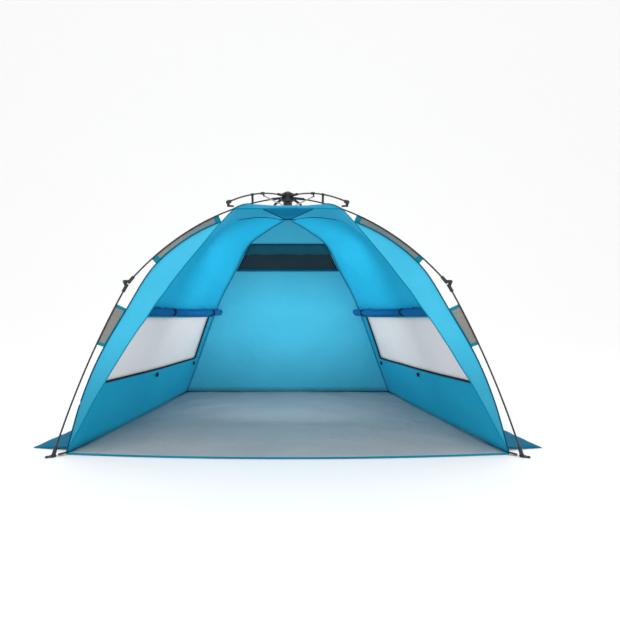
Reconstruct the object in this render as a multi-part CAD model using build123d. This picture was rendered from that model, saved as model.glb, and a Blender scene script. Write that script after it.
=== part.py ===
"""Umbrella-hub beach shelter: a cloth half-dome hung under a folding six-arm rod frame.

Millimetres. +Z is up, -Y is the open front and +X is the right side seen from the front. The origin
is on the ground at the centre of the shelter's box. The crown stays where it is as the frame folds: the
four legs and two awning arms swing down round it, the elbows turn and the runner moves down under it.
"""

from build123d import *
from math import atan2, cos, degrees, hypot, radians, sin
import os

# ---- driving dimensions -------------------------------------------------------------------------
HUB_Y = -6.5                  # the hub stands a little in front of the centre of the shelter's box
ROD_R = 4.2                   # fibreglass rod radius
SHELL = 3.0                   # thickness that stands for cloth
MESH_THICK, MESH_LIFT = 2.6, 0.2   # window mesh, set into the cloth's thickness
SEAM_GAP = 5.0                # cloth panels stop this far short of a seam line
FIT = 0.4                     # gap between faces that meet
PIN_R = 2.5                   # hinge pin radius
PIN_CLEAR = 0.06              # running clearance round a hinge pin

# The frame's arms, as azimuths from the shelter's front, in degrees.
FRONT_AZ, REAR_AZ, AWNING_AZ = 59.5, 131.0, 30.0

# Hinges at the crown (radius, height) and at the runner, where the struts turn.
HINGE_R = 50.0
LEG_HINGE_Z = 1308.0
AWNING_HINGE_Z = 1322.0
STRUT_SIDE = 10.0             # struts lie beside their arm, this far from its middle
STRUT_HALF = 2.0              # half the thickness of a strut
PIN_END = STRUT_SIDE + STRUT_HALF + 1.6

# Each leg: decline of the rod at the crown and at the elbow, length; the same for the lower rod.
# Declines are in degrees below the horizontal, outwards.
LEGS = {
    "front": dict(az=FRONT_AZ, upper=(9.0, 49.3, 1040.0), lower=(61.0, 73.0, 886.0)),
    "rear": dict(az=REAR_AZ, upper=(24.0, 66.0, 930.0), lower=(61.0, 66.5, 742.0)),
}
AWNING_ROD = (0.0, 21.0, 545.0)
BRACKET_AT = 228.0            # the strut's bracket, measured along the awning arm from its hinge
STRAP_AT = 330.0              # the strap that hangs the roof's ridge, along the awning arm
BRACKET_DROP = 15.0           # how far the strut's outer pivot hangs below the arm
SIDES = {"left": -1, "right": 1}

PAD_R, PAD_TALL = 15.0, 7.0                 # foot pad
EYE_OUT, EYE_R = 25.0, 4.5                  # the peg eye, outside the pad
TAIL_R, TAIL_WIDE, TAIL_TALL = 9.0, 15.0, 6.0   # the foot's tail, which holds the eye
CUP_R, CUP_LEN, CUP_UP = 9.0, 60.0, 52.0    # the foot's cup on the rod
SOCKET_R, SOCKET_LEN = 7.6, 46.0          # crown sockets
SOCKET_START = 15.0                       # from the hinge pin to the round part of a socket
ELBOW_R, ELBOW_LEN = 8.5, 46.0            # elbow sockets
ELBOW_PIN_OUT = 18.5                      # the elbow's pin stands outside the rod by this much
TONGUE_HALF = 4.0                         # half thickness of every hinge tongue
EAR_THICK = 3.0
EAR_R = 8.0
CLEVIS = TONGUE_HALF + FIT + EAR_THICK    # half the width over a hinge's two ears
THROUGH = 20.0                            # half length of a cut that passes right through

# Crown and runner, as radii and heights.
CROWN_BASE, CROWN_TALL, CROWN_R = 1290.0, 42.0, 33.0
CROWN_WELL_R, CROWN_WELL_DEEP = 26.0, 34.0
CROWN_LIP_R, CROWN_LIP_TALL = 36.0, 3.0
CAP_GAP, CAP_R, CAP_TALL = 0.2, 38.0, 5.0
CAP_TOP, CAP_SHOULDER_R, CAP_TOP_R = 1352.0, 36.0, 11.0
RUNNER_BASE, RUNNER_TALL, RUNNER_R = 1254.0, 30.0, 27.0
RUNNER_NECK_TALL, RUNNER_NECK_R = 6.0, 21.0
TETHER_BASE, TETHER_WIDE = 1188.0, 18.0   # webbing from the cloth's peak up to the runner

# Cloth seams in their leg's plane: (radius from the hub, height).
FRONT_SEAM = [(1226, 6), (1163, 240), (1076, 455), (950, 674), (813, 891),
              (640, 1040), (450, 1140), (300, 1172), (160, 1190), (26, 1182)]
REAR_SEAM = [(968, 6), (842, 235), (631, 636), (455, 877), (327, 1042), (170, 1125), (26, 1182)]
AWNING_SEAM = [(26, 1182), (200, 1207), (369, 1231), (460, 1222), (548, 1191)]
LEG_SEAMS = {"front": FRONT_SEAM, "rear": REAR_SEAM}
UPPER_SLEEVE = {"front": (0.40, 0.83), "rear": (0.34, 0.80)}   # shares of the upper rod with mesh under them
LOWER_SLEEVE = (0.13, 0.375)               # the same for a front leg's lower rod
ELBOW_GAP = 4.0                            # each rod stops this far from the middle of its elbow
ROD_OFF_GROUND = 9.0
EDGE_BOW = 52.0                            # the opening's side edges bow outwards by this much
WING_JOINS = 0.80                          # share of the front seam, from the ground, below the brim corner
WING_START = 0.035                         # the wing panel begins this far up, where it has some width
PANEL_STEPS = 14

# Side windows: heights of the mesh, and insets from the rear and the front seams.
WINDOW_LOW, WINDOW_HIGH = 296.0, 603.0
WINDOW_REAR, WINDOW_FRONT = 92.0, 60.0
WALL_TILT = 0.067                          # level lines on a side wall rise by this share to the front
BACK_WINDOW_LOW, BACK_WINDOW_HIGH = 880.0, 1045.0
BACK_WINDOW_IN = 22.0                      # cloth beside the back window
WALL_FOOT = 8.0                            # the walls stop this far above the ground
WALL_TOP_SHARE = 0.96                      # and at this share of the way to the peak
SLEEVE_GAP = 0.8
ROLL_IN = 46.0                             # the rolls hang this far inside the side walls
ROLL_R, BACK_ROLL_R = 25.0, 20.0           # rolled-up window covers
ROLL_Z = WINDOW_HIGH + 30
FLOOR_BOW = 60.0                           # the groundsheet's front edge bows forwards
FLAP_OUT, FLAP_LONG = 224.0, 1100.0        # side sand flaps
EPS = 0.01                                 # keeps touching faces apart


# ---- frame geometry -----------------------------------------------------------------------------
def heading(side, az):
    """Angle from +X of the arm plane on that side, in degrees."""
    return degrees(atan2(-cos(radians(az)), side * sin(radians(az))))


def place(shape, side, az):
    """Moves a shape made in the XZ plane (x = distance from the hub) to its arm's plane."""
    return shape.rotate(Axis.Z, heading(side, az)).translate((0, HUB_Y, 0))


def arm_point(side, az, r, z):
    a = radians(heading(side, az))
    return Vector(r * cos(a), r * sin(a) + HUB_Y, z)


def bend(start, a0, a1, length, share=1.0):
    """The point and decline a share of the way along a rod that bends evenly from a0 to a1."""
    turn = radians(a1 - a0) * share
    radius = length / radians(a1 - a0)
    first = radians(a0)
    r = start[0] + radius * (sin(first + turn) - sin(first))
    z = start[1] + radius * (cos(first + turn) - cos(first))
    return (r, z), a0 + (a1 - a0) * share


def rod(start, a0, a1, length, first=0.0, last=1.0, radius=ROD_R):
    """A bent rod from one share of its length to another, in the XZ plane."""
    ends = [bend(start, a0, a1, length, s)[0] for s in (first, (first + last) / 2, last)]
    path = ThreePointArc(*[(r, 0, z) for r, z in ends])
    return sweep(Plane(origin=path @ 0, z_dir=path % 0) * Circle(radius), path=path)


def bar(point, decline, length, radius, bore=0.0):
    """A round bar from a point in the XZ plane along a decline."""
    a = radians(decline)
    plane = Plane(origin=(point[0], 0, point[1]), z_dir=(cos(a), 0, -sin(a)))
    made = extrude(plane * Circle(radius), length)
    if bore:
        made -= extrude(plane * Circle(bore), length)
    return made


def step(point, decline, along, out=0.0):
    """A point moved along a decline, and outwards from it."""
    a = radians(decline)
    return (point[0] + along * cos(a) + out * sin(a), point[1] - along * sin(a) + out * cos(a))


def link(p, q, radius, y0, y1):
    """A flat link with round ends, between two points of the XZ plane, from y0 to y1."""
    plane = Plane(origin=(p[0], y1, p[1]), x_dir=(q[0] - p[0], 0, q[1] - p[1]), z_dir=(0, -1, 0))
    length = hypot(q[0] - p[0], q[1] - p[1])
    outline = Circle(radius) + Pos(length, 0) * Circle(radius)
    outline += Pos(length / 2, 0) * Rectangle(length, 2 * radius)
    return extrude(plane * outline, y1 - y0)


def across(point, radius, y0, y1):
    """A pin or bore across an arm's plane."""
    return extrude(Plane(origin=(point[0], y1, point[1]), z_dir=(0, -1, 0)) * Circle(radius), y1 - y0)


def crown_socket(hinge, decline):
    """The moulded end of an arm: a tongue round the crown's pin, and a socket on the rod."""
    base = step(hinge, decline, SOCKET_START)
    tongue = link(hinge, step(base, decline, 4), EAR_R - 1, -TONGUE_HALF, TONGUE_HALF)
    made = bar(base, decline, SOCKET_LEN, SOCKET_R) + tongue
    return made - bar(base, decline, SOCKET_LEN + 1, ROD_R) - across(hinge, PIN_R + PIN_CLEAR, -20, 20)


def strut_ends():
    """The strut's inner and outer pivots. Strut and arm are equally long from hinge to pivot, and their
    hinges stand one above the other, so the runner moves straight up and down as the arms turn."""
    hinge = (HINGE_R, AWNING_HINGE_Z)
    at, decline = bend(hinge, *AWNING_ROD, BRACKET_AT / AWNING_ROD[2])
    outer = step(at, decline, 0, -BRACKET_DROP)
    return (HINGE_R, 2 * outer[1] - AWNING_HINGE_Z), outer


def strut_bracket():
    """A clamp on the awning arm whose lug and pin carry the strut's outer end."""
    at, decline = bend((HINGE_R, AWNING_HINGE_Z), *AWNING_ROD, BRACKET_AT / AWNING_ROD[2])
    outer = strut_ends()[1]
    face = STRUT_SIDE - STRUT_HALF - FIT
    clamp = bar(step(at, decline, -12), decline, 24, SOCKET_R)
    return clamp + link(at, outer, 4.5, face - 3.4, face) + across(outer, PIN_R, face - 3.4, PIN_END)


def split_at_rod(shape, start, a0, a1, length):
    """Takes the rod's own space out of a fitting."""
    return shape - rod(start, a0, a1, length, radius=ROD_R)


def strut():
    """A flat strut from the runner's ear to the awning arm's bracket, with an eye at each end."""
    inner, outer = strut_ends()
    sides = (STRUT_SIDE - STRUT_HALF, STRUT_SIDE + STRUT_HALF)
    made = link(inner, outer, 3.2, *sides) + across(inner, 5.0, *sides) + across(outer, 5.0, *sides)
    return made - across(inner, PIN_R + PIN_CLEAR, 0, 30) - across(outer, PIN_R + PIN_CLEAR, 0, 30)


def elbow(end, decline, lower_decline):
    """The elbow's pin point, its upper half with the pin, and its lower half."""
    middle = (decline + lower_decline) / 2
    pin = step(end, middle, 0, ELBOW_PIN_OUT)
    ears_base = step(end, decline, -14)
    upper = bar(step(end, decline, -ELBOW_LEN), decline, ELBOW_LEN - 3, ELBOW_R)
    for y0 in (-TONGUE_HALF - FIT - EAR_THICK, TONGUE_HALF + FIT):
        upper += link(ears_base, pin, EAR_R, y0, y0 + EAR_THICK)
    lower = bar(step(end, lower_decline, 3), lower_decline, ELBOW_LEN - 3, ELBOW_R)
    lower += link(step(end, lower_decline, 14), pin, EAR_R, -TONGUE_HALF, TONGUE_HALF)
    lower -= across(pin, PIN_R + PIN_CLEAR, -20, 20)
    keep_out = across(pin, EAR_R + 0.8, -CLEVIS - 0.6, -TONGUE_HALF - FIT + 0.3)
    keep_out += across(pin, EAR_R + 0.8, TONGUE_HALF + FIT - 0.3, CLEVIS + 0.6)
    lower -= keep_out
    lower -= bar(step(end, decline, -ELBOW_LEN), decline, ELBOW_LEN - 2.4, ELBOW_R + 0.6)
    upper -= link(step(end, lower_decline, 12), step(end, lower_decline, 60), 12, -THROUGH, THROUGH)
    upper -= across(pin, PIN_R, -20, 20)
    axle = across(pin, PIN_R, -CLEVIS, CLEVIS)
    for y0 in (-CLEVIS - 2.5, CLEVIS):
        axle += across(pin, 5.5, y0, y0 + 2.5)
    return pin, upper, lower, axle


def foot(point, decline):
    """A moulded foot: a cup on the rod's end, a round pad on the ground and a tail with a peg eye."""
    eye = point[0] + EYE_OUT
    above_ground = Pos(point[0], 0, 200) * Box(400, 100, 400 - 2 * EPS)
    cup = bar(step(point, decline, -CUP_UP), decline, CUP_LEN, CUP_R) & above_ground
    pad = extrude(Plane.XY * Pos(point[0], 0) * Circle(PAD_R), PAD_TALL)
    outline = Pos(point[0] + EYE_OUT / 2, 0) * Rectangle(EYE_OUT, TAIL_WIDE) + Pos(eye, 0) * Circle(TAIL_R)
    tail = extrude(Plane.XY * outline, TAIL_TALL)
    made = pad + tail + cup
    return made - extrude(Plane.XY * Pos(eye, 0) * Circle(EYE_R), TAIL_TALL)


# ---- cloth geometry -----------------------------------------------------------------------------
def along(points, share):
    """The point a share of the way along a chain of points, smoothed as a Catmull-Rom curve."""
    last = len(points) - 1
    at = min(share, 1.0) * last
    i = min(int(at), last - 1)
    t = at - i
    p = [Vector(*points[max(0, min(last, k))]) for k in (i - 1, i, i + 1, i + 2)]
    return (p[1] * 2 + (p[2] - p[0]) * t + (p[0] * 2 - p[1] * 5 + p[2] * 4 - p[3]) * t * t
            + (p[1] * 3 - p[0] - p[2] * 3 + p[3]) * t * t * t) * 0.5


def seam(side, az, points):
    return [tuple(arm_point(side, az, r, z)) for r, z in points]


def brim_corner(side):
    return arm_point(side, AWNING_AZ, *AWNING_SEAM[-1])


def foot_corner(side):
    return arm_point(side, FRONT_AZ, *FRONT_SEAM[0])


def opening_edge(side, share):
    """The free side edge of the opening, from the ground corner to the brim corner, then the awning seam."""
    if share <= WING_JOINS:
        t = share / WING_JOINS
        low, high = foot_corner(side), brim_corner(side)
        out = Vector(side * 0.835, 0, 0.55) * (EDGE_BOW * 4 * t * (1 - t))
        return low + (high - low) * t + out
    t = (share - WING_JOINS) / (1 - WING_JOINS)
    return along(seam(side, AWNING_AZ, AWNING_SEAM[::-1]), t)


def panel(left, right, first, last, gap=SEAM_GAP, outwards=1):
    """A cloth panel between two lines, as a ruled loft of thin sections that stop short of the seams."""
    sections = []
    for k in range(PANEL_STEPS + 1):
        t = first + (last - first) * k / PANEL_STEPS
        a, b = left(t), right(t)
        inset = (b - a).normalized() * gap
        a, b = a + inset, b - inset
        ahead = (left(t + 0.01) + right(t + 0.01)) - (left(t - 0.01) + right(t - 0.01))
        normal = (b - a).cross(ahead).normalized() * (SHELL * outwards)
        sections.append(Wire.make_polygon([a, b, b + normal, a + normal], close=True))
    return Solid.make_loft(sections, ruled=True)


def seam_line(side, az, points):
    return lambda t: along(seam(side, az, points), max(0.0, min(1.0, t)))


def share_at(points, height):
    """Where a seam first reaches a height, as a share of its chain of points."""
    top = max(range(len(points)), key=lambda k: points[k][1])
    low, high = 0.0, top / (len(points) - 1)
    for _ in range(40):
        mid = (low + high) / 2
        r_z = along([(r, z, 0) for r, z in points], mid)
        low, high = (mid, high) if r_z.Y < height else (low, mid)
    return low


def level_line(side, height, share):
    """A point of the side wall near one height: share 0 is at the front seam and 1 at the rear one."""
    front = seam_line(side, FRONT_AZ, FRONT_SEAM)(share_at(FRONT_SEAM, height * (1 + WALL_TILT)))
    rear = seam_line(side, REAR_AZ, REAR_SEAM)(share_at(REAR_SEAM, height * (1 - WALL_TILT)))
    return front + (rear - front) * share


def above(side, az, points, height):
    """The part of a seam above a height, as its own line from 0 to 1."""
    first = share_at(points, height)
    return lambda t: along(seam(side, az, points), max(0.0, min(1.0, first + (1 - first) * t)))


def wall_strip(side, low, high, inset_front, inset_rear, thick, lift=0.0, steps=8):
    """A strip of side wall between two heights, as a ruled loft of level sections."""
    sections = []
    for k in range(steps + 1):
        height = low + (high - low) * k / steps
        a, b = level_line(side, height, 0), level_line(side, height, 1)
        direction = (b - a).normalized()
        a, b = a + direction * inset_front, b - direction * inset_rear
        rise = level_line(side, height + 5, 0.5) - level_line(side, height - 5, 0.5)
        normal = direction.cross(rise).normalized()
        if normal.X * side < 0:
            normal = -normal
        a, b = a + normal * lift, b + normal * lift
        sections.append(Wire.make_polygon([a, b, b + normal * thick, a + normal * thick], close=True))
    return Solid.make_loft(sections, ruled=True)


def back_point(side, height):
    return seam_line(side, REAR_AZ, REAR_SEAM)(share_at(REAR_SEAM, height))


def back_strip(low, high, inset, thick, lift=0.0, steps=6):
    """A strip of the back wall between two heights."""
    sections = []
    for k in range(steps + 1):
        height = low + (high - low) * k / steps
        a, b = back_point(-1, height), back_point(1, height)
        rise = back_point(1, height + 4) - back_point(1, height - 4)
        normal = Vector(0, rise.Z, -rise.Y).normalized()
        a, b = a + Vector(inset, 0, 0) + normal * lift, b - Vector(inset, 0, 0) + normal * lift
        sections.append(Wire.make_polygon([a, b, b + normal * thick, a + normal * thick], close=True))
    return Solid.make_loft(sections, ruled=True)


def tube_between(a, b, radius):
    return extrude(Plane(origin=a, z_dir=b - a) * Circle(radius), (b - a).length)


# ---- sub-parts ----------------------------------------------------------------------------------
def crown_ear(side, az, z, y0):
    """One of the two ears that hold an arm's pin, cut clear of the crown's hollow."""
    ear = link((CROWN_R - 3, z), (HINGE_R, z), EAR_R, y0, y0 + EAR_THICK)
    ear -= across((HINGE_R, z), PIN_R, -THROUGH, THROUGH)
    ear -= extrude(Plane.XY.offset(CROWN_BASE - EAR_R) * Circle(CROWN_R - 3), CROWN_TALL + 2 * EAR_R)
    return ear.rotate(Axis.Z, heading(side, az))


def crown():
    """The crown's round body with twelve ears, its six-sided cap, and its six hinge pins."""
    body = extrude(Plane.XY.offset(CROWN_BASE) * Circle(CROWN_R), CROWN_TALL)
    body -= extrude(Plane.XY.offset(CROWN_BASE - EPS) * Circle(CROWN_WELL_R), CROWN_WELL_DEEP)
    body += extrude(Plane.XY.offset(CROWN_BASE + CROWN_TALL) * Circle(CROWN_LIP_R), CROWN_LIP_TALL)
    pins = []
    for az, z in ((AWNING_AZ, AWNING_HINGE_Z), (FRONT_AZ, LEG_HINGE_Z), (REAR_AZ, LEG_HINGE_Z)):
        for side in SIDES.values():
            body += crown_ear(side, az, z, -CLEVIS)
            body += crown_ear(side, az, z, TONGUE_HALF + FIT)
            pins.append(place(across((HINGE_R, z), PIN_R, -CLEVIS, CLEVIS), side, az))
    cap_base = CROWN_BASE + CROWN_TALL + CROWN_LIP_TALL + CAP_GAP
    cap = extrude(Plane.XY.offset(cap_base) * RegularPolygon(CAP_R, 6), CAP_TALL)
    cap += loft([Plane.XY.offset(cap_base + CAP_TALL - CAP_GAP) * RegularPolygon(CAP_SHOULDER_R, 6),
                 Plane.XY.offset(CAP_TOP) * RegularPolygon(CAP_TOP_R, 6)])
    return body.translate((0, HUB_Y, 0)), cap.translate((0, HUB_Y, 0)), pins


def runner():
    """The lower hub, whose ears hold the struts, and the tether that holds the cloth's peak."""
    body = extrude(Plane.XY.offset(RUNNER_BASE) * Circle(RUNNER_R), RUNNER_TALL)
    neck_base = RUNNER_BASE - RUNNER_NECK_TALL
    body += extrude(Plane.XY.offset(neck_base) * Circle(RUNNER_NECK_R), RUNNER_NECK_TALL)
    pivot = strut_ends()[0]
    y0 = STRUT_SIDE - STRUT_HALF - FIT - EAR_THICK
    for side in SIDES.values():
        ear = link((16, pivot[1]), pivot, 6.0, y0, y0 + EAR_THICK) + across(pivot, PIN_R, y0, PIN_END)
        body += ear.rotate(Axis.Z, heading(side, AWNING_AZ))
    strap = Plane.XY.offset(TETHER_BASE) * Rectangle(TETHER_WIDE, SHELL)
    tether = extrude(strap, neck_base - TETHER_BASE - FIT)
    return body.translate((0, HUB_Y, 0)), tether.translate((0, HUB_Y, 0))


def hinged_rod(side, az, z, shape, last=1.0):
    """An arm's rod and the moulded socket that hinges it on the crown."""
    start = (HINGE_R, z)
    socket = split_at_rod(crown_socket(start, shape[0]), start, *shape)
    made = rod(start, *shape, first=(SOCKET_START + 4) / shape[2], last=last)
    return place(made, side, az), place(socket, side, az)


def awning_tip(end, decline):
    """The moulded end of an awning arm: a round knuckle and a clip that reaches down to the brim."""
    a = link(end, step(end, decline, 12), 8.5, -7, 7)
    low = (AWNING_SEAM[-1][0] + 6, AWNING_SEAM[-1][1] + 12)
    knee = step(end, decline, 14)
    a += link(knee, (knee[0] - 6, knee[1] - 18), 5.5, -5, 5)
    a += link((knee[0] - 6, knee[1] - 18), low, 4.5, -4, 4)
    return a


def sleeve(side, az, shape, start, points, first, last, seam_gap=8.0):
    """A mesh strip in an arm's plane, from just under the rod to just outside the cloth's seam."""
    a0, a1, length = shape
    steps = 12
    sections = []
    line = [along([(r, z, 0) for r, z in points], k / 240) for k in range(241)]
    for k in range(steps + 1):
        share = first + (last - first) * k / steps
        at, decline = bend(start, a0, a1, length, share)
        top = step(at, decline, 0, -ROD_R - SLEEVE_GAP)
        down = radians(decline)
        inwards = (-sin(down), -cos(down))
        best = min(line, key=lambda p: abs((p.X - at[0]) * cos(down) - (p.Y - at[1]) * sin(down)))
        depth = (best.X - at[0]) * inwards[0] + (best.Y - at[1]) * inwards[1] - seam_gap
        low = (at[0] + inwards[0] * depth, at[1] + inwards[1] * depth)
        sections.append(Wire.make_polygon(
            [(top[0], -1, top[1]), (top[0], 1, top[1]), (low[0], 1, low[1]), (low[0], -1, low[1])], close=True))
    return place(Solid.make_loft(sections, ruled=True), side, az)


def awning_strap(start):
    """The webbing that hangs the roof's ridge from an awning arm."""
    at, decline = bend(start, *AWNING_ROD, STRAP_AT / AWNING_ROD[2])
    low = (at[0] - 2, AWNING_SEAM[2][1] + 9)
    return bar(step(at, decline, -9), decline, 18, 6.5) + link((at[0], at[1] - 8), low, 3.5, -5, 5)


def groundsheet():
    """The floor, with a front edge that bows forwards."""
    left, right = foot_corner(-1), foot_corner(1)
    back_l, back_r = back_point(-1, 6), back_point(1, 6)
    middle = (0, left.Y - FLOOR_BOW)
    outline = ThreePointArc((left.X, left.Y), middle, (right.X, right.Y))
    outline += Polyline((right.X, right.Y), (back_r.X, back_r.Y), (back_l.X, back_l.Y), (left.X, left.Y))
    return extrude(make_face(outline), SHELL)


def sand_flap(side):
    """A flap on the ground outside a side wall, pointed at its front end."""
    front, back = level_line(side, 8, 0), level_line(side, 8, 1)
    direction = (back - front).normalized()
    out = Vector(side * abs(direction.Y), -direction.X * side, 0)
    if out.X * side < 0:
        out = -out
    a = front + direction * 70 + out * 12
    b = front + direction * (FLAP_LONG) + out * 12
    tip = front + direction * 34 + out * FLAP_OUT
    rear = front + direction * (FLAP_LONG - 90) + out * (FLAP_OUT - 20)
    return extrude(make_face(Polyline(*[(p.X, p.Y) for p in (a, tip, rear, b, a)])), SHELL)


def corner_strap(side, az, points, foot_r):
    """Webbing from a floor corner to the foot's pad, flat on the ground."""
    start = points[0][0] + 10
    end = foot_r - PAD_R - FIT
    strap = Pos((start + end) / 2, 0, 1.5) * Box(end - start, 20, 3)
    return place(strap, side, az)


def leg_parts(place_name, side_name):
    """One leg by node name: rods, crown socket, elbow halves, foot and sleeves. Also its corner strap."""
    leg, side = LEGS[place_name], SIDES[side_name]
    name, az, start = f"{place_name}_{side_name}", leg["az"], (HINGE_R, LEG_HINGE_Z)
    end, decline = bend(start, *leg["upper"])
    lower = (end, *leg["lower"])
    length = leg["lower"][2]
    pin, upper_half, lower_half, axle = elbow(end, decline, leg["lower"][0])
    upper_half = split_at_rod(upper_half, start, *leg["upper"])
    upper_rod, socket = hinged_rod(side, az, LEG_HINGE_Z, leg["upper"], last=1 - ELBOW_GAP / leg["upper"][2])
    rod_last = 1 - ROD_OFF_GROUND / length
    foot_at, foot_decline = bend(*lower)
    points = LEG_SEAMS[place_name]
    made = {
        "upper_rod": upper_rod,
        "crown_socket": socket,
        "elbow_upper": Compound([place(upper_half, side, az), place(axle, side, az)]),
        "elbow_lower": place(split_at_rod(lower_half, *lower), side, az),
        "lower_rod": place(rod(*lower, first=ELBOW_GAP / length, last=rod_last), side, az),
        "foot": place(foot(foot_at, foot_decline) - rod(*lower, last=rod_last), side, az),
        "upper_sleeve": sleeve(side, az, leg["upper"], start, points, *UPPER_SLEEVE[place_name]),
    }
    if place_name == "front":
        made["lower_sleeve"] = sleeve(side, az, leg["lower"], end, points, *LOWER_SLEEVE)
    strap = corner_strap(side, az, points, foot_at[0])
    return {f"{name}_{part}": shape for part, shape in made.items()}, strap


def awning_parts(side_name):
    """One awning arm by node name: rod, its fittings, its strut and its tip."""
    side, start = SIDES[side_name], (HINGE_R, AWNING_HINGE_Z)
    arm, socket = hinged_rod(side, AWNING_AZ, AWNING_HINGE_Z, AWNING_ROD)
    clamps = [place(split_at_rod(c, start, *AWNING_ROD), side, AWNING_AZ)
              for c in (strut_bracket(), awning_strap(start))]
    tip = split_at_rod(awning_tip(*bend(start, *AWNING_ROD)), start, *AWNING_ROD)
    made = {"rod": arm, "rod_fittings": Compound([socket, *clamps]),
            "strut": place(strut(), side, AWNING_AZ), "tip": place(tip, side, AWNING_AZ)}
    return {f"awning_{side_name}_{part}": shape for part, shape in made.items()}


def side_wall(side):
    """A side wall of one sheet: below the window, beside it, and above it up to the peak."""
    lower = wall_strip(side, WALL_FOOT, WINDOW_LOW, SEAM_GAP, SEAM_GAP, SHELL)
    upper = panel(above(side, FRONT_AZ, FRONT_SEAM, WINDOW_HIGH * (1 + WALL_TILT)),
                  above(side, REAR_AZ, REAR_SEAM, WINDOW_HIGH * (1 - WALL_TILT)),
                  0.0, WALL_TOP_SHARE, outwards=side)
    band = wall_strip(side, WINDOW_LOW, WINDOW_HIGH, SEAM_GAP, 0, SHELL)
    band -= wall_strip(side, WINDOW_LOW - EPS, WINDOW_HIGH + EPS, WINDOW_FRONT, WINDOW_REAR,
                       SHELL * 4, -SHELL * 2)
    return lower + upper + band


def side_window(side):
    """The mesh of a side window, just inside the hole in its wall."""
    return wall_strip(side, WINDOW_LOW + 1, WINDOW_HIGH - 1, WINDOW_FRONT + 1, WINDOW_REAR + 1,
                      MESH_THICK, MESH_LIFT)


def side_cover(side):
    """A rolled window cover, the two bands that tie it up, and the two toggles below the window."""
    inner = Vector(-side * ROLL_IN, 0, 0)
    ends = [level_line(side, ROLL_Z, share) + inner for share in (0.08, 0.96)]
    roll = tube_between(*ends, ROLL_R)
    ties = []
    for share in (0.30, 0.86):
        at = Plane(origin=level_line(side, ROLL_Z, share) + inner, z_dir=ends[1] - ends[0])
        ties.append(extrude(at * (Circle(ROLL_R + 2.6) - Circle(ROLL_R + FIT)), 14))
    toggles = []
    for share in (0.52, 0.93):
        at = level_line(side, WINDOW_LOW - 42, share)
        toggles.append(Pos(at.X - side * 14, at.Y, at.Z) * Box(5, 24, 20))
    return roll, ties, toggles


def back_parts():
    """The back wall with its window, and the cover rolled above the window outside."""
    wall = back_strip(WALL_FOOT, 1176, SEAM_GAP, SHELL, steps=16)
    wall -= back_strip(BACK_WINDOW_LOW, BACK_WINDOW_HIGH, BACK_WINDOW_IN, SHELL * 4, -SHELL * 2)
    window = back_strip(BACK_WINDOW_LOW + 1, BACK_WINDOW_HIGH - 1, BACK_WINDOW_IN + 1.5, MESH_THICK, MESH_LIFT)
    out = Vector(0, 30, 22)
    ends = [back_point(side, BACK_WINDOW_HIGH - 8) + out - Vector(side * 24, 0, 0) for side in (-1, 1)]
    return {"back_wall": wall, "back_window": window, "back_cover_roll": tube_between(*ends, BACK_ROLL_R)}


def wing(side):
    """The roof panel between the front leg's seam and the opening's edge."""
    front = seam_line(side, FRONT_AZ, FRONT_SEAM)
    edge = lambda t: opening_edge(side, max(0.0, min(1.0, t)))
    return panel(front, edge, WING_START, 0.985, gap=SEAM_GAP * 0.9)


def build():
    """Every sub-part by node name."""
    nodes = {}
    nodes["crown_body"], nodes["crown_cap"], pins = crown()
    nodes["crown_hinge_pins"] = Compound(pins)
    nodes["runner"], tether = runner()
    webbing, ties, toggles = [tether], [], []
    for place_name in LEGS:
        for side_name in SIDES:
            leg, strap = leg_parts(place_name, side_name)
            nodes.update(leg)
            webbing.append(strap)
    for side_name, side in SIDES.items():
        nodes.update(awning_parts(side_name))
        nodes[f"{side_name}_wall"] = side_wall(side)
        nodes[f"{side_name}_wing"] = wing(side)
        nodes[f"{side_name}_cover_roll"], rings, tabs = side_cover(side)
        ties += rings
        toggles += tabs
    nodes.update(back_parts())
    nodes["side_windows"] = Compound([side_window(side) for side in SIDES.values()])
    nodes["cover_ties"] = Compound(ties)
    nodes["cover_toggles"] = Compound(toggles)
    ridges = [seam_line(side, AWNING_AZ, AWNING_SEAM) for side in (-1, 1)]
    nodes["awning"] = panel(*ridges, 0.03, 1.0)
    nodes["groundsheet"] = groundsheet()
    nodes["sand_flaps"] = Compound([sand_flap(side) for side in SIDES.values()])
    nodes["corner_webbing"] = Compound(webbing)
    return nodes


NODES = build()
if __name__ == "__main__":
    os.makedirs("parts", exist_ok=True)
    for node_name, shape in NODES.items():
        export_step(shape, f"parts/{node_name}.step")
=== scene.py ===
"""Beach shelter: cloth, mesh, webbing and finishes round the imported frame. Metres, row frame."""
from math import cos, pi, radians, sin

import bmesh
import bpy
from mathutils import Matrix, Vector, noise


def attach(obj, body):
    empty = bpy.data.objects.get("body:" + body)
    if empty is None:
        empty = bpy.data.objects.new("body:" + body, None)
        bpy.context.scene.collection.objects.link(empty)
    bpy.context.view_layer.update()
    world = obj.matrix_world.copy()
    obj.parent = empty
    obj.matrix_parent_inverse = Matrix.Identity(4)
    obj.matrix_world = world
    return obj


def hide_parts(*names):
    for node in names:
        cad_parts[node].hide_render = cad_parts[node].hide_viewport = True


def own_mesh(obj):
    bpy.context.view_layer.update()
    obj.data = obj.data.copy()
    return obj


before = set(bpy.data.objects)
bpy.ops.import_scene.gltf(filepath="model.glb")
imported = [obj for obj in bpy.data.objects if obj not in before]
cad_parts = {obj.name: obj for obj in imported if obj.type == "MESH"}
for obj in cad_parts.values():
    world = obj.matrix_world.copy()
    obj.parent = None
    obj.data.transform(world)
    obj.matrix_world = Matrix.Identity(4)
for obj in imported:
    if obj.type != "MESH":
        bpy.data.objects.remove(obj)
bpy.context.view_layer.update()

HUB_Y = -0.0065
FRONT_AZ, REAR_AZ, AWNING_AZ = 59.5, 131.0, 30.0
ROOT = "shelter"
UP = Vector((0, 0, 1))

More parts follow.
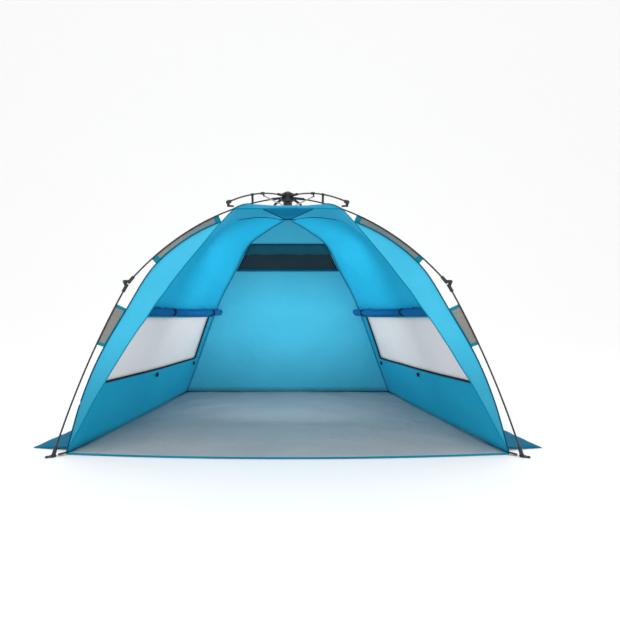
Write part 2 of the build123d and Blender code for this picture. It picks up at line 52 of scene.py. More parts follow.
# Seams in their leg's plane (radius from the hub, height), as in the CAD.
FRONT_SEAM = [(1.226, .006), (1.163, .240), (1.076, .455), (.950, .674), (.813, .891),
              (.640, 1.040), (.450, 1.140), (.300, 1.172), (.160, 1.190), (.026, 1.182)]
REAR_SEAM = [(.968, .006), (.842, .235), (.631, .636), (.455, .877), (.327, 1.042), (.170, 1.125),
             (.026, 1.182)]
AWNING_SEAM = [(.026, 1.182), (.200, 1.207), (.369, 1.231), (.460, 1.222), (.548, 1.191)]
EDGE_BOW, WING_JOINS = .052, 0.80
WINDOW_LOW, WINDOW_HIGH = .296, .603
WINDOW_REAR, WINDOW_FRONT = .092, .060
WALL_TILT = .067                # level lines on a side wall rise by this share to the front
BACK_LOW, BACK_HIGH = .880, 1.045
ROLL_IN = .054                  # the rolls hang this far inside the side walls
COVER_TIES = (.30, .86)         # shares of a roll's length where its bands sit
TOGGLE_SHARES = (.52, .93)      # shares of the wall's length where the toggles below a window sit
TOGGLE_DROP = .042              # how far those toggles are below the window
WALL_FOOT = .008                # the walls stop this far above the ground
SIDES = (("left", -1), ("right", 1))


# ---- seam curves --------------------------------------------------------------------------------
def plane_dir(side, az):
    a = radians(az)
    return Vector((side * sin(a), -cos(a), 0)).normalized()


def arm_point(side, az, r, z):
    d = plane_dir(side, az)
    return Vector((d.x * r, d.y * r + HUB_Y, z))


def along(points, share):
    """The point a share of the way along a chain of points, on a Catmull-Rom curve."""
    last = len(points) - 1
    at = max(0.0, min(share, 1.0)) * last
    i = min(int(at), last - 1)
    t = at - i
    p = [Vector(points[max(0, min(last, k))]) for k in (i - 1, i, i + 1, i + 2)]
    return (p[1] * 2 + (p[2] - p[0]) * t + (p[0] * 2 - p[1] * 5 + p[2] * 4 - p[3]) * t * t
            + (p[1] * 3 - p[0] - p[2] * 3 + p[3]) * t * t * t) * 0.5


def seam(side, az, points):
    return [arm_point(side, az, r, z) for r, z in points]


def share_at(points, height):
    top = max(range(len(points)), key=lambda k: points[k][1])
    low, high = 0.0, top / (len(points) - 1)
    for _ in range(30):
        mid = (low + high) / 2
        low, high = (mid, high) if along(points, mid).y < height else (low, mid)
    return low


def front_at(side, share):
    return along(seam(side, FRONT_AZ, FRONT_SEAM), share)


def rear_at(side, share):
    return along(seam(side, REAR_AZ, REAR_SEAM), share)


def level_shares(height):
    """Shares of the front and rear seams where a side wall's level line meets them."""
    return share_at(FRONT_SEAM, height * (1 + WALL_TILT)), share_at(REAR_SEAM, height * (1 - WALL_TILT))


def level_ends(side, height):
    sf, sr = level_shares(height)
    return front_at(side, sf), rear_at(side, sr)


def awning_at(side, share):
    return along(seam(side, AWNING_AZ, AWNING_SEAM), share)


def opening_edge(side, share):
    """The opening's free side edge up to the brim's corner, then the awning's own seam."""
    if share <= WING_JOINS:
        t = share / WING_JOINS
        low, high = front_at(side, 0), awning_at(side, 1)
        return low + (high - low) * t + Vector((side * .835, 0, .55)) * (EDGE_BOW * 4 * t * (1 - t))
    t = (share - WING_JOINS) / (1 - WING_JOINS)
    return awning_at(side, 1 - t)


# ---- materials ----------------------------------------------------------------------------------
def new_material(name, rough=0.6, sheen=0.0, alpha=1.0, specular=0.5, metallic=0.0):
    m = bpy.data.materials.new(name)
    m.use_nodes = True
    b = m.node_tree.nodes["Principled BSDF"]
    b.inputs["Roughness"].default_value = rough
    b.inputs["Sheen Weight"].default_value = sheen
    b.inputs["Sheen Roughness"].default_value = 0.4
    b.inputs["Alpha"].default_value = alpha
    b.inputs["Specular IOR Level"].default_value = specular
    b.inputs["Metallic"].default_value = metallic
    return m, m.node_tree.nodes, m.node_tree.links, b


def colour_noise(nodes, links, shader, low, high, scale, detail=4.0):
    """Base colour that drifts between two colours over the surface."""
    where = nodes.new("ShaderNodeTexCoord")
    n = nodes.new("ShaderNodeTexNoise")
    n.inputs["Scale"].default_value = scale
    n.inputs["Detail"].default_value = detail
    ramp = nodes.new("ShaderNodeValToRGB")
    ramp.color_ramp.elements[0].position = 0.3
    ramp.color_ramp.elements[1].position = 0.7
    ramp.color_ramp.elements[0].color = (*low, 1)
    ramp.color_ramp.elements[1].color = (*high, 1)
    links.new(where.outputs["Object"], n.inputs["Vector"])
    links.new(n.outputs["Fac"], ramp.inputs["Fac"])
    links.new(ramp.outputs["Color"], shader.inputs["Base Color"])
    return where, ramp


def weave_bump(nodes, links, shader, where, scale, strength, wrinkle=0.0, wrinkle_scale=6.0):
    """Woven threads in two directions, over soft wrinkles."""
    height = None
    for axis in ("X", "Z"):
        w = nodes.new("ShaderNodeTexWave")
        w.bands_direction = axis
        w.inputs["Scale"].default_value = scale
        w.inputs["Distortion"].default_value = 0.3
        links.new(where.outputs["Object"], w.inputs["Vector"])
        if height is None:
            height = w.outputs["Fac"]
        else:
            add = nodes.new("ShaderNodeMath")
            add.operation = "ADD"
            links.new(height, add.inputs[0])
            links.new(w.outputs["Fac"], add.inputs[1])
            height = add.outputs[0]
    bump = nodes.new("ShaderNodeBump")
    bump.inputs["Strength"].default_value = strength
    bump.inputs["Distance"].default_value = 0.0006
    links.new(height, bump.inputs["Height"])
    last = bump
    if wrinkle:
        n = nodes.new("ShaderNodeTexNoise")
        n.inputs["Scale"].default_value = wrinkle_scale
        n.inputs["Detail"].default_value = 3.0
        n.inputs["Distortion"].default_value = 0.6
        soft = nodes.new("ShaderNodeBump")
        soft.inputs["Strength"].default_value = wrinkle
        soft.inputs["Distance"].default_value = 0.02
        links.new(where.outputs["Object"], n.inputs["Vector"])
        links.new(n.outputs["Fac"], soft.inputs["Height"])
        links.new(bump.outputs["Normal"], soft.inputs["Normal"])
        last = soft
    links.new(last.outputs["Normal"], shader.inputs["Normal"])


def painted_shade_by_height(nodes, links, where, colour, painted_shade):
    """Painted shade: the colour, darkened by a grey that depends on the height (metres, grey)."""
    split = nodes.new("ShaderNodeSeparateXYZ")
    links.new(where.outputs["Object"], split.inputs["Vector"])
    ramp = nodes.new("ShaderNodeValToRGB")
    points = ramp.color_ramp.elements
    while len(points) < len(painted_shade):
        points.new(0.5)
    for point, (height, grey) in zip(points, painted_shade):
        point.position = height
        point.color = (grey, grey, grey, 1)
    links.new(split.outputs["Z"], ramp.inputs["Fac"])
    mix = nodes.new("ShaderNodeMix")
    mix.data_type = "RGBA"
    mix.blend_type = "MULTIPLY"
    mix.inputs["Factor"].default_value = 1.0
    links.new(colour, mix.inputs[6])
    links.new(ramp.outputs["Color"], mix.inputs[7])
    return mix.outputs[2]


def cloth_material(name, low, high, scale=2.5, rough=0.72, sheen=0.02, alpha=1.0, weave=420.0,
                   wrinkle=0.25, glow=0.0, painted_shade=()):
    m, nodes, links, shader = new_material(name, rough, sheen, alpha, 0.06)
    where, ramp = colour_noise(nodes, links, shader, low, high, scale)
    colour = ramp.outputs["Color"]
    # painted shade by height, where a table of it is given
    if painted_shade:
        colour = painted_shade_by_height(nodes, links, where, colour, painted_shade)
        links.new(colour, shader.inputs["Base Color"])
    weave_bump(nodes, links, shader, where, weave, 0.25, wrinkle)
    if glow:
        # painted glow: the emission stands in for the daylight that comes through thin cloth
        links.new(colour, shader.inputs["Emission Color"])
        shader.inputs["Emission Strength"].default_value = glow
    return m


def moulded_material(name, low, high, rough=0.42, scale=60.0, metallic=0.0):
    m, nodes, links, shader = new_material(name, rough, 0.0, 1.0, 0.5, metallic)
    where, _ = colour_noise(nodes, links, shader, low, high, scale)
    n = nodes.new("ShaderNodeTexNoise")
    n.inputs["Scale"].default_value = 900.0
    bump = nodes.new("ShaderNodeBump")
    bump.inputs["Strength"].default_value = 0.15
    bump.inputs["Distance"].default_value = 0.0004
    links.new(where.outputs["Object"], n.inputs["Vector"])
    links.new(n.outputs["Fac"], bump.inputs["Height"])
    links.new(bump.outputs["Normal"], shader.inputs["Normal"])
    return m


# Side walls: painted shade darker towards the foot, and a painted glow.
CLOTH = cloth_material("shell_cloth", (.014, .370, .590), (.022, .410, .640), glow=0.24, wrinkle=0.45,
                       painted_shade=((0, .72), (.3, .80), (.7, 1.0)))
# Back wall: a paler copy of the shell cloth for painted light, with painted shade towards the foot and the
# top, and a painted glow.
BACK = cloth_material("back_cloth", (.055, .430, .620), (.070, .470, .670), glow=0.14, wrinkle=0.45,
                      painted_shade=((0, .80), (.42, 1.0), (.62, .95), (.86, .62)))
# Awning and peak patch: a darker copy of the shell cloth, painted shade on an underside seen from below.
ROOF = cloth_material("roof_cloth", (.008, .26, .46), (.010, .29, .50), glow=0.02)
# Wings: a paler copy of the shell cloth, painted light on their lit outer face, with painted shade darker
# towards the bottom and a painted glow.
WING = cloth_material("wing_cloth", (.040, .410, .620), (.060, .460, .680), glow=0.16, wrinkle=0.45,
                      painted_shade=((0, .55), (.30, .72), (.55, 1.0)))
COVER = cloth_material("cover_cloth", (.006, .13, .34), (.010, .16, .40), wrinkle=0.5)
SKIRT = cloth_material("flap_cloth", (.003, .13, .23), (.006, .16, .28), wrinkle=0.6)
FLOOR = cloth_material("floor_cloth", (.37, .395, .405), (.43, .455, .465), rough=0.5, wrinkle=0.7, scale=1.6)
BINDING = cloth_material("binding", (.000, .22, .36), (.002, .26, .42), wrinkle=0.1)
SEAM_TAPE = cloth_material("seam_tape", (.000, .06, .12), (.001, .08, .15), wrinkle=0.1)
# The pale mesh carries the same painted glow.
PALE_MESH = cloth_material("mesh_pale", (.80, .76, .74), (.86, .82, .80), rough=0.8, weave=700.0,
                           wrinkle=0.1, glow=0.16)
SLEEVE = cloth_material("mesh_sleeve", (.25, .235, .21), (.36, .34, .31), rough=0.85, sheen=0.0,
                        alpha=0.93, weave=700.0, wrinkle=0.3)
TAB = cloth_material("sleeve_tab", (.005, .22, .30), (.010, .27, .36), wrinkle=0.1)
DARK_MESH = cloth_material("mesh_dark", (.008, .020, .028), (.014, .030, .038), rough=0.8, weave=700.0,
                           wrinkle=0.1)
BACK_COVER = cloth_material("back_cover", (.004, .050, .075), (.008, .070, .100), wrinkle=0.5)
WEBBING = cloth_material("webbing", (.010, .010, .011), (.018, .018, .019), scale=40.0, weave=900.0,
                         wrinkle=0.0)
ZIP = cloth_material("zip_tape", (.010, .022, .032), (.016, .030, .042), scale=60.0, weave=900.0, wrinkle=0.0)
ROD = moulded_material("fibreglass", (.012, .012, .013), (.022, .022, .023), rough=0.30, scale=30.0)
PLASTIC = moulded_material("moulding", (.012, .012, .012), (.020, .020, .021), rough=0.45)
METAL = moulded_material("strut_metal", (.50, .50, .51), (.60, .60, .61), rough=0.32, metallic=1.0)


# ---- piece helpers ------------------------------------------------------------------------------
def add_object(name, verts, faces, material, smooth=True):
    mesh = bpy.data.meshes.new(name)
    mesh.from_pydata([tuple(v) for v in verts], [], faces)
    mesh.validate()
    for p in mesh.polygons:
        p.use_smooth = smooth
    mesh.materials.append(material)
    o = bpy.data.objects.new(name, mesh)
    bpy.context.scene.collection.objects.link(o)
    return o


def grid(name, rows, material, thick=0.0012, keep_cell=None, closed=False):
    """A smooth sheet through rows of points; keep_cell(i, j) can leave holes."""
    n, m = len(rows), len(rows[0])
    verts = [p for row in rows for p in row]
    faces = []
    for i in range(n - 1):
        for j in range(m if closed else m - 1):
            if keep_cell is None or keep_cell(i, j):
                k = (j + 1) % m
                faces.append((i * m + j, i * m + k, (i + 1) * m + k, (i + 1) * m + j))
    o = add_object(name, verts, faces, material)
    bm = bmesh.new()
    bm.from_mesh(o.data)
    loose = [v for v in bm.verts if not v.link_faces]
    bmesh.ops.delete(bm, geom=loose, context="VERTS")
    bmesh.ops.recalc_face_normals(bm, faces=bm.faces)
    bm.to_mesh(o.data)
    bm.free()
    if thick:
        apply_solidify(o, thick)
    return o


def apply_solidify(o, thick):
    s = o.modifiers.new("thick", "SOLIDIFY")
    s.thickness = thick
    s.offset = 0.0
    bpy.context.view_layer.update()
    made = bpy.data.meshes.new_from_object(o.evaluated_get(bpy.context.evaluated_depsgraph_get()))
    o.modifiers.clear()
    o.data = made


def flat_area(rows, keep_cell=None):
    total = 0.0
    for i in range(len(rows) - 1):
        for j in range(len(rows[0]) - 1):
            if keep_cell is None or keep_cell(i, j):
                a, b, c, d = rows[i][j], rows[i][j + 1], rows[i + 1][j + 1], rows[i + 1][j]
                total += (b - a).cross(c - a).length / 2 + (c - a).cross(d - a).length / 2
    return total


def span(rows):
    """The longest row and column of a sheet, as it would be cut."""
    def length(line):
        return sum((q - p).length for p, q in zip(line, line[1:]))
    return max(length(r) for r in rows), max(length(c) for c in zip(*rows))


def declare_sheet(rows):
    """Works out the area of a sheet cut as wide and as long as its longest row and column, and keeps nothing
    of it.
    """
    w, l = span(rows)
    min(flat_area(rows), w * l)


def soft(o, *nodes, slot="shell_cloth"):
    """A soft piece of the shelter's body, in place of the CAD nodes it hides."""
    if nodes:
        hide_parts(*nodes)
    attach(o, ROOT)
    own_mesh(o)
    return o


def cloth(name, rows, material, nodes=(), slot="shell_cloth", keep_cell=None, thick=0.0012):
    o = grid(name, rows, material, thick, keep_cell)
    soft(o, *nodes, slot=slot)
    w, l = span(rows)
    area = flat_area(rows, keep_cell)
    return o


def ribbon(name, path, across, material, width, thick=0.0015):
    """A flat tape along a path; across(k) is the tape's own width direction there."""
    rows = [[p - across(k) * (width / 2), p + across(k) * (width / 2)] for k, p in enumerate(path)]
    return grid(name, rows, material, thick)


def tube(name, path, radius, material, sides=10, caps=True):
    """A round tube along a path."""
    rows = []
    up = Vector((0, 0, 1))
    for k, p in enumerate(path):
        d = (path[min(k + 1, len(path) - 1)] - path[max(k - 1, 0)]).normalized()
        a = d.cross(up if abs(d.z) < .95 else Vector((1, 0, 0))).normalized()
        b = d.cross(a).normalized()
        r = radius(k / (len(path) - 1)) if callable(radius) else radius
        turns = [2 * pi * s / sides for s in range(sides)]
        rows.append([p + a * (r * cos(turn)) + b * (r * sin(turn)) for turn in turns])
    o = grid(name, rows, material, 0, closed=True)
    if caps:
        bm = bmesh.new()
        bm.from_mesh(o.data)
        bmesh.ops.holes_fill(bm, edges=[e for e in bm.edges if e.is_boundary])
        bm.to_mesh(o.data)
        bm.free()
    return o


def join(name, objects):
    """Several pieces as one object."""
    target = objects[0]
    bm = bmesh.new()
    slots = []
    for o in objects:
        start = len(bm.faces)
        mesh = o.data
        bm.from_mesh(mesh)
        bm.faces.ensure_lookup_table()
        for m in mesh.materials:
            if m not in slots:
                slots.append(m)
        for f in bm.faces[start:]:
            f.material_index = slots.index(mesh.materials[f.material_index])
    new = bpy.data.meshes.new(name)
    bm.to_mesh(new)
    bm.free()
    for m in slots:
        new.materials.append(m)
    for o in objects[1:]:
        bpy.data.objects.remove(o)
    target.data = new
    target.name = name
    return target


def wrinkle(p, scale, size, seed=0.0):
    return noise.noise(Vector((p.x * scale + seed, p.y * scale, p.z * scale))) * size


# ---- side walls ---------------------------------------------------------------------------------
def wall_rows(side):
    """Rows of a side wall from the ground to the peak; its window is rows 10 to 22, columns 2 to 22."""
    lows = [WALL_FOOT + (WINDOW_LOW - WALL_FOOT) * k / 10 for k in range(11)]
    mids = [WINDOW_LOW + (WINDOW_HIGH - WINDOW_LOW) * k / 12 for k in range(1, 13)]
    shares = [level_shares(h) for h in lows + mids]
    f0, r0 = shares[-1]
    shares += [(f0 + (1 - f0) * k / 26, r0 + (1 - r0) * k / 26) for k in range(1, 27)]
    rows = []
    for sf, sr in shares:
        a, b = front_at(side, sf), rear_at(side, sr)
        length = max((b - a).length, 1e-4)
        inner = [min(.45, WINDOW_FRONT / length), max(.55, 1 - WINDOW_REAR / length)]
        stops = [0, inner[0] / 2, inner[0]]
        stops += [inner[0] + (inner[1] - inner[0]) * k / 20 for k in range(1, 21)]
        stops += [(inner[1] + 1) / 2, 1]
        out = Vector((side, 0, .35)).normalized()
        row = []
        for s in stops:
            sag = -.012 * 4 * s * (1 - s) * min(1, length / .9)
            p = a + (b - a) * s
            p += out * (sag + wrinkle(p, 5, .004, side) * 4 * s * (1 - s))
            row.append(p)
        rows.append(row)
    return rows


def side_wall(side_name, side):
    """A side wall, its mesh window, and the zips, piping and hem round the window."""
    rows = wall_rows(side)

    def solid_cell(i, j):
        return not (10 <= i < 22 and 2 <= j < 22)

    cloth(f"{side_name}_wall_cloth", rows, CLOTH, [f"{side_name}_wall"], keep_cell=solid_cell)
    window = [row[2:23] for row in rows[10:23]]
    mesh = grid(f"{side_name}_window_mesh", window, PALE_MESH, 0.0008)
    soft(mesh, "side_windows", slot="mesh_pale")
    declare_sheet(window)
    inner = Vector((-side * .004, 0, -.001))
    bottom = [p + inner for p in window[0]]
    rear = [row[-1] + inner for row in window]
    front = [row[0] + inner for row in window]
    along_wall = (window[0][-1] - window[0][0]).normalized()
    rise = (window[-1][10] - window[0][10]).normalized()
    zips = [ribbon("z1", bottom, lambda k: rise, ZIP, .012, .003),
            ribbon("z2", rear, lambda k: along_wall, ZIP, .012, .003),
            tube("z3", [p + inner for p in bottom], .0022, PLASTIC, 6),
            tube("z4", [p + inner for p in rear], .0022, PLASTIC, 6)]
    soft(join(f"{side_name}_window_zip", zips), slot="webbing")
    piping = tube(f"{side_name}_window_piping", [p + along_wall * .022 + inner for p in rear], .003, CLOTH, 8)
    soft(piping)
    hem = ribbon(f"{side_name}_window_hem", front, lambda k: along_wall, SEAM_TAPE, .012, .002)
    soft(hem)


def rolled_cover(side_name, side):
    """A rolled-up window cover and the cloth above it. Returns the pieces of the bands that tie it up."""
    a, b = level_ends(side, WINDOW_HIGH + .030)
    p0, p1 = a + (b - a) * .09, a + (b - a) * .95
    d = (p1 - p0).normalized()
    across = Vector((side, 0, 0)) - d * d.dot(Vector((side, 0, 0)))
    across.normalize()
    up = d.cross(across).normalized()

    def centre(t):
        return p0 + (p1 - p0) * t + Vector((-side * ROLL_IN, 0, .002)) + Vector((0, 0, -.006 * sin(pi * t)))

    cover_roll(side_name, centre, across, up)
    cover_head(side_name, side, p0, p1, centre, up)
    bands = []
    for t in COVER_TIES:
        bands += cover_band(centre(t), d, across, up)
    return bands


def cover_roll(side_name, centre, across, up):
    """Nearly two turns of cloth in a loose spiral, pinched in at its bands."""
    rows = []
    steps, sides = 56, 30
    for k in range(steps + 1):
        t = k / steps
        pinch = min(1.0, min(abs(t - x) for x in COVER_TIES) / .05)
        radius = (.020 + .0035 * sin(t * 9)) * (.82 + .18 * pinch)
        c = centre(t)
        row = []
        for s in range(sides + 1):
            turn = 2 * pi * s / sides * 1.9
            r = radius * (1.0 - .30 * s / sides)
            q = c + across * (r * cos(turn)) + up * (r * sin(turn))
            row.append(q + (q - c) * wrinkle(q, 26, .35, 3.0))
        rows.append(row)
    o = grid(f"{side_name}_cover", rows, COVER, .0015)
    soft(o, f"{side_name}_cover_roll", slot="cover_cloth")
    declare_sheet(rows)


def cover_head(side_name, side, p0, p1, centre, up):
    """The cloth that joins a roll to its window's top edge."""
    rows = []
    for k in range(41):
        t = k / 40
        top = p0 + (p1 - p0) * t + Vector((-side * .003, 0, -.028))
        low = centre(t) + up * (.019 if up.z > 0 else -.019)
        rows.append([top, top + (low - top) * .5 + Vector((0, 0, .008)), low])
    soft(grid(f"{side_name}_cover_head", rows, COVER, .0015), slot="cover_cloth")


def cover_band(c, d, across, up):
    """A webbing band round a roll, and its toggle."""
    sides, band_r, half_width = 24, .0212, .006
    turns = [2 * pi * s / sides for s in range(sides)]
    ring = [[c + d * off + across * (band_r * cos(turn)) + up * (band_r * sin(turn)) for turn in turns]
            for off in (-half_width, half_width)]
    toggle = [c + across * -.022 + up * .012, c + across * -.024 + up * -.012]
    return [grid("band", ring, WEBBING, .0016, closed=True), tube("toggle", toggle, .0045, PLASTIC, 8)]


def toggle_patches(side):
    """The small webbing patches below a window."""
    a, b = level_ends(side, WINDOW_LOW - TOGGLE_DROP)
    d = (b - a).normalized()
    made = []
    for share in TOGGLE_SHARES:
        c = a + (b - a) * share + Vector((-side * (.024 if share < .9 else .012), 0, 0))
        rows = [[c + d * (.012 * u) + UP * (.011 * v) for u in (-1, -.8, .8, 1)] for v in (-1, -.8, .8, 1)]
        made.append(grid("patch", rows, WEBBING, .003))
    return made


tie_pieces = []
for side_name, side in SIDES:
    side_wall(side_name, side)
    tie_pieces += rolled_cover(side_name, side)
soft(join("cover_tie_bands", tie_pieces), "cover_ties", slot="webbing")
soft(join("cover_patches", toggle_patches(-1) + toggle_patches(1)), "cover_toggles", slot="webbing")


# ---- back wall ----------------------------------------------------------------------------------
def back_rows():
    """Rows of the back wall from the ground to the peak; its window is rows 22 to 30, columns 1 to 25."""
    lows = [WALL_FOOT + (BACK_LOW - WALL_FOOT) * k / 22 for k in range(23)]
    mids = [BACK_LOW + (BACK_HIGH - BACK_LOW) * k / 8 for k in range(1, 9)]
    shares = [share_at(REAR_SEAM, h) for h in lows + mids]
    shares += [shares[-1] + (1 - shares[-1]) * k / 10 for k in range(1, 11)]
    rows = []
    for s in shares:
        a, b = rear_at(-1, s), rear_at(1, s)
        edge = min(.4, .008 / max((b - a).length, 1e-4))
        stops = [0, edge] + [edge + (1 - 2 * edge) * k / 24 for k in range(1, 25)] + [1]
        rows.append([a + (b - a) * t + Vector((0, -.010 * 4 * t * (1 - t), 0))
                     + Vector((0, wrinkle(a + (b - a) * t, 4, .005), 0)) * (4 * t * (1 - t)) for t in stops])
    return rows


def back_window(pane):
    """The dark mesh of the rear window and the tapes along its bottom and top."""
    mesh = grid("back_window_mesh", pane, DARK_MESH, 0.0008)
    soft(mesh, "back_window", slot="mesh_dark")
    declare_sheet(pane)
    rim = []
    for edge in (pane[0], pane[-1]):
        path = [p + Vector((0, -.004, 0)) for p in edge]
        rim.append(ribbon("rim", path, lambda k: UP, SEAM_TAPE, .014, .002))
    soft(join("back_window_rim", rim))


def back_cover(pane):
    """The rear cover: folded down along the window's top inside, and rolled above it outside."""
    fold = []
    for k, line in enumerate((pane[-1], pane[-2], pane[-3], pane[-4])):
        inwards = -.010 - .005 * (k % 2)
        fold.append([p + Vector((0, inwards, wrinkle(p, 16, .012, k) * (k > 1))) for p in line])
    cover = grid("back_cover_fold", fold, BACK_COVER, .0018)
    soft(cover, slot="cover_cloth")
    declare_sheet(fold)
    share = share_at(REAR_SEAM, BACK_HIGH - .008)
    left, right = rear_at(-1, share), rear_at(1, share)
    centre = [left + (right - left) * (.05 + .9 * k / 40) + Vector((0, .030, .022)) for k in range(41)]
    roll = tube("back_cover_roll_cloth", centre, lambda t: .017 + .002 * sin(t * 14), COVER, 18)
    soft(roll, "back_cover_roll", slot="cover_cloth")


def back_wall():
    rows = back_rows()

    def solid_cell(i, j):
        return not (22 <= i < 30 and 1 <= j < 25)

    cloth("back_wall_cloth", rows, BACK, ["back_wall"], keep_cell=solid_cell)
    pane = [row[1:26] for row in rows[22:31]]
    back_window(pane)
    back_cover(pane)


back_wall()


# ---- wings and awning ---------------------------------------------------------------------------
def wing_rows(side):
    """Rows of a wing, each from the front leg's seam to the opening's edge."""
    rows = []
    for k in range(49):
        t = .010 + .985 * k / 48
        a, b = front_at(side, t), opening_edge(side, t)
        out = Vector((side * .6, -.55, .58))
        line = []
        for j in range(11):
            s = j / 10
            p = a + (b - a) * s
            belly = .010 * 4 * s * (1 - s) * min(1, (b - a).length / .15)
            line.append(p - out * belly + out * wrinkle(p, 9, .004, 7.0 * side) * s)
        rows.append(line)
    return rows


for side_name, side in SIDES:
    rows = wing_rows(side)
    cloth(f"{side_name}_wing_cloth", rows, WING, [f"{side_name}_wing"])
    edge = [row[-1] for row in rows[:41]]
    soft(tube(f"{side_name}_opening_binding", edge, .0028, BINDING, 8))


def awning_rows():
    """Rows of the awning from the peak to the brim, each from the left ridge to the right one."""
    rows = []
    for k in range(27):
        t = .02 + .98 * k / 26
        a, b = awning_at(-1, t), awning_at(1, t)
        line = []
        for j in range(33):
            s = j / 32
            p = a + (b - a) * s
            bow = 4 * s * (1 - s)
            p += Vector((0, -.012 * bow * t ** 4, -.012 * bow * sin(pi * t) + .002 * bow))
            line.append(p + UP * wrinkle(p, 12, .003, 2.0) * bow)
        rows.append(line)
    return rows


rows = awning_rows()
cloth("awning_cloth", rows, ROOF, ["awning"])
brim = [p + Vector((0, -.001, -.001)) for p in rows[-1]]
soft(tube("brim_binding", brim, .0036, BINDING, 8))


# ---- seam tapes ---------------------------------------------------------------------------------
tapes = []
for side in (-1, 1):
    for az, points in ((FRONT_AZ, FRONT_SEAM), (REAR_AZ, REAR_SEAM), (AWNING_AZ, AWNING_SEAM)):
        line = seam(side, az, points)
        path = [along(line, .004 + .99 * k / 80) for k in range(81)]
        tapes.append(tube("tape", path, .0036, SEAM_TAPE, 8))
soft(join("seam_tapes", tapes))


def ring_round_hub(r, z, sides=32):
    turns = [2 * pi * s / sides for s in range(sides)]
    return [Vector((r * cos(turn), HUB_Y + r * sin(turn), z)) for turn in turns]


def peak_patch():
    """The reinforced patch where the seams meet under the runner's tether."""
    peak, radius, drop = 1.1865, .048, .010
    rows = [ring_round_hub(.0005, peak)]
    rows += [ring_round_hub(radius * k / 6, peak - drop * (k / 6) ** 2) for k in range(1, 7)]
    soft(grid("peak_patch", rows, ROOF, .002, closed=True))


peak_patch()


# ---- floor and flaps ----------------------------------------------------------------------------
def floor_rows():
    """Rows of the groundsheet from its bowed front edge to the back, with slight ripples."""
    left, right = front_at(-1, 0), front_at(1, 0)
    back_l, back_r = rear_at(-1, 0), rear_at(1, 0)
    rows = []
    for i in range(41):
        v = i / 40
        a = left + (back_l - left) * v
        b = right + (back_r - right) * v
        line = []
        for j in range(61):
            u = j / 60
            p = a + (b - a) * u
            p.y -= .060 * 4 * u * (1 - u) * (1 - v) ** 3
            ripple = abs(noise.noise(Vector((p.x * 3.0, p.y * 5.0, 1.7)))) * .006
            ripple += abs(noise.noise(Vector((p.x * 9.0, p.y * 9.0, 4.7)))) * .002
            p.z = .0015 + ripple
            line.append(p)
        rows.append(line)
    return rows


rows = floor_rows()
cloth("floor_cloth", rows, FLOOR, ["groundsheet"], slot="floor_cloth")
soft(tube("floor_binding", [Vector((p.x, p.y, .005)) for p in rows[0]], .0042, BINDING, 8))
hems = [tube("hem", [Vector((r[k].x, r[k].y, .006)) for r in rows], .004, SEAM_TAPE, 8) for k in (0, -1)]
hems.append(tube("hem", [Vector((p.x, p.y, .006)) for p in rows[-1]], .004, SEAM_TAPE, 8))
soft(join("floor_hems", hems))

def flap_rows(side):
    """Rows of a sand flap, each from the wall's foot outwards."""
    front = front_at(side, share_at(FRONT_SEAM, WALL_FOOT))
    back = rear_at(side, share_at(REAR_SEAM, WALL_FOOT))
    d = (back - front).normalized()
    out = Vector((side * abs(d.y), -d.x * side, 0))
    out = out if out.x * side > 0 else -out
    rows = []
    for k in range(31):
        a = front + d * (.050 + 1.05 * k / 30) + out * .004
        b = front + d * (.034 + .98 * k / 30) + out * (.218 - .020 * k / 30)
        line = []
        for j in range(9):
            s = j / 8
            p = a + (b - a) * s
            p.z = .0015 + .020 * (1 - s) ** 3 + abs(noise.noise(Vector((p.x * 12, p.y * 12, 2.0)))) * .007
            line.append(p)
        rows.append(line)
    return rows


for side_name, side in SIDES:
    rows = flap_rows(side)
    flap = grid(f"{side_name}_flap_cloth", rows, SKIRT, .0012)
    soft(flap, "sand_flaps")
    declare_sheet(rows)


# ---- webbing at the corners and the peak --------------------------------------------------------
straps = []
for side in (-1, 1):
    for az, r0, r1 in ((FRONT_AZ, 1.222, 1.262), (REAR_AZ, .966, 1.000)):
        path = [arm_point(side, az, r0 + (r1 - r0) * k / 6, .010 - .004 * k / 6) for k in range(7)]
        across_dir = plane_dir(side, az).cross(UP)
        straps.append(ribbon("strap", path, lambda k, a=across_dir: a, WEBBING, .020, .002))
peak = [Vector((0, HUB_Y, 1.186 + .058 * k / 8)) for k in range(9)]
straps.append(ribbon("tether", peak, lambda k: Vector((1, 0, 0)), WEBBING, .018, .002))
soft(join("corner_straps", straps), "corner_webbing", slot="webbing")


# ---- mesh sleeves -------------------------------------------------------------------------------
def bend_at(start, rod, share):
    """The point and the decline, in radians, a share of the way along a bent rod."""
    a0, a1, length = radians(rod[0]), radians(rod[1]), rod[2]
    turn, radius = (a1 - a0) * share, length / (a1 - a0)
    r = start[0] + radius * (sin(a0 + turn) - sin(a0))
    z = start[1] + radius * (cos(a0 + turn) - cos(a0))
    return (r, z), a0 + turn


def sleeve_rows(side, az, start, rod, points, first, last, steps):
    """Rows from just under the rod to just outside the cloth's seam."""
    line = [along(points, k / 240) for k in range(241)]
    rows = []
    d = plane_dir(side, az)
    side_way = d.cross(UP)
    for k in range(steps + 1):
        (r, z), dec = bend_at(start, rod, first + (last - first) * k / steps)
        best = min(line, key=lambda p: abs((p.x - r) * cos(dec) - (p.y - z) * sin(dec)))
        depth = -(best.x - r) * sin(dec) - (best.y - z) * cos(dec) - .004
        row = []
        for j in range(7):
            t = .0015 + (depth - .0015) * j / 6
            p = Vector((d.x * (r - t * sin(dec)), d.y * (r - t * sin(dec)) + HUB_Y, z - t * cos(dec)))
            row.append(p + side_way * (.0012 * sin(k * 1.3) * sin(pi * j / 6)))
        rows.append(row)
    return rows


